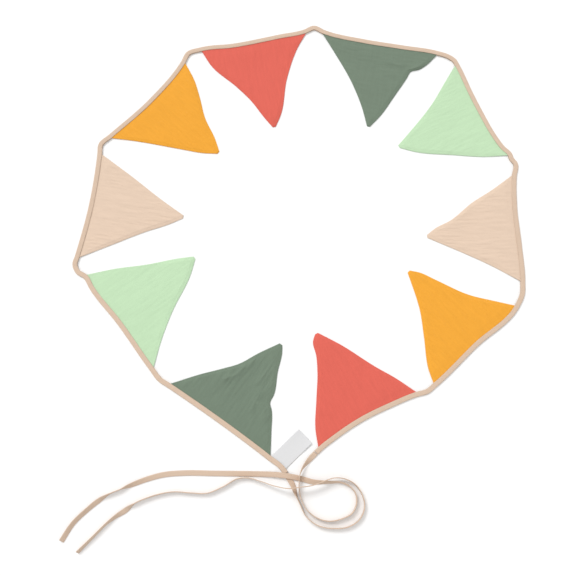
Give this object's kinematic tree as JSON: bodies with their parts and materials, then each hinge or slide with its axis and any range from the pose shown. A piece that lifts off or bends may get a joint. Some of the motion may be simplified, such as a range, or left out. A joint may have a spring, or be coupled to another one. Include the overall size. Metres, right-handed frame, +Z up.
{
  "type": "fabric bunting",
  "caption": "Bunting of three-cornered gauze pennants held in a folded cotton tape, laid out as a ring with its two tie ends looped and drawn off to the left.",
  "frame": {"origin": "on the surface the bunting lies on, under the middle of the ring's bounding box, tie ends left out", "axes": "+Z up from the surface, +Y towards the far side of the ring, with the open side and the tie ends towards -Y"},
  "size_m": [0.7282, 0.8696, 0.0186],
  "materials": {
    "green_gauze": "matt crinkled double gauze",
    "mint_gauze": "matt crinkled double gauze",
    "beige_gauze": "matt crinkled double gauze",
    "orange_gauze": "matt crinkled double gauze",
    "red_gauze": "matt crinkled double gauze",
    "cotton_tape": "matt plain cotton",
    "satin_label": "smooth white satin"
  },
  "bodies": {
    "root": {"flag_01": "green_gauze", "flag_02": "mint_gauze", "flag_03": "beige_gauze", "flag_04": "orange_gauze", "flag_05": "red_gauze", "flag_06": "green_gauze", "flag_07": "mint_gauze", "flag_08": "beige_gauze", "flag_09": "orange_gauze", "flag_10": "red_gauze", "binding_tape": "cotton_tape", "tie_left": "cotton_tape", "tie_right": "cotton_tape", "care_label": "satin_label"}
  },
  "joints": []
}
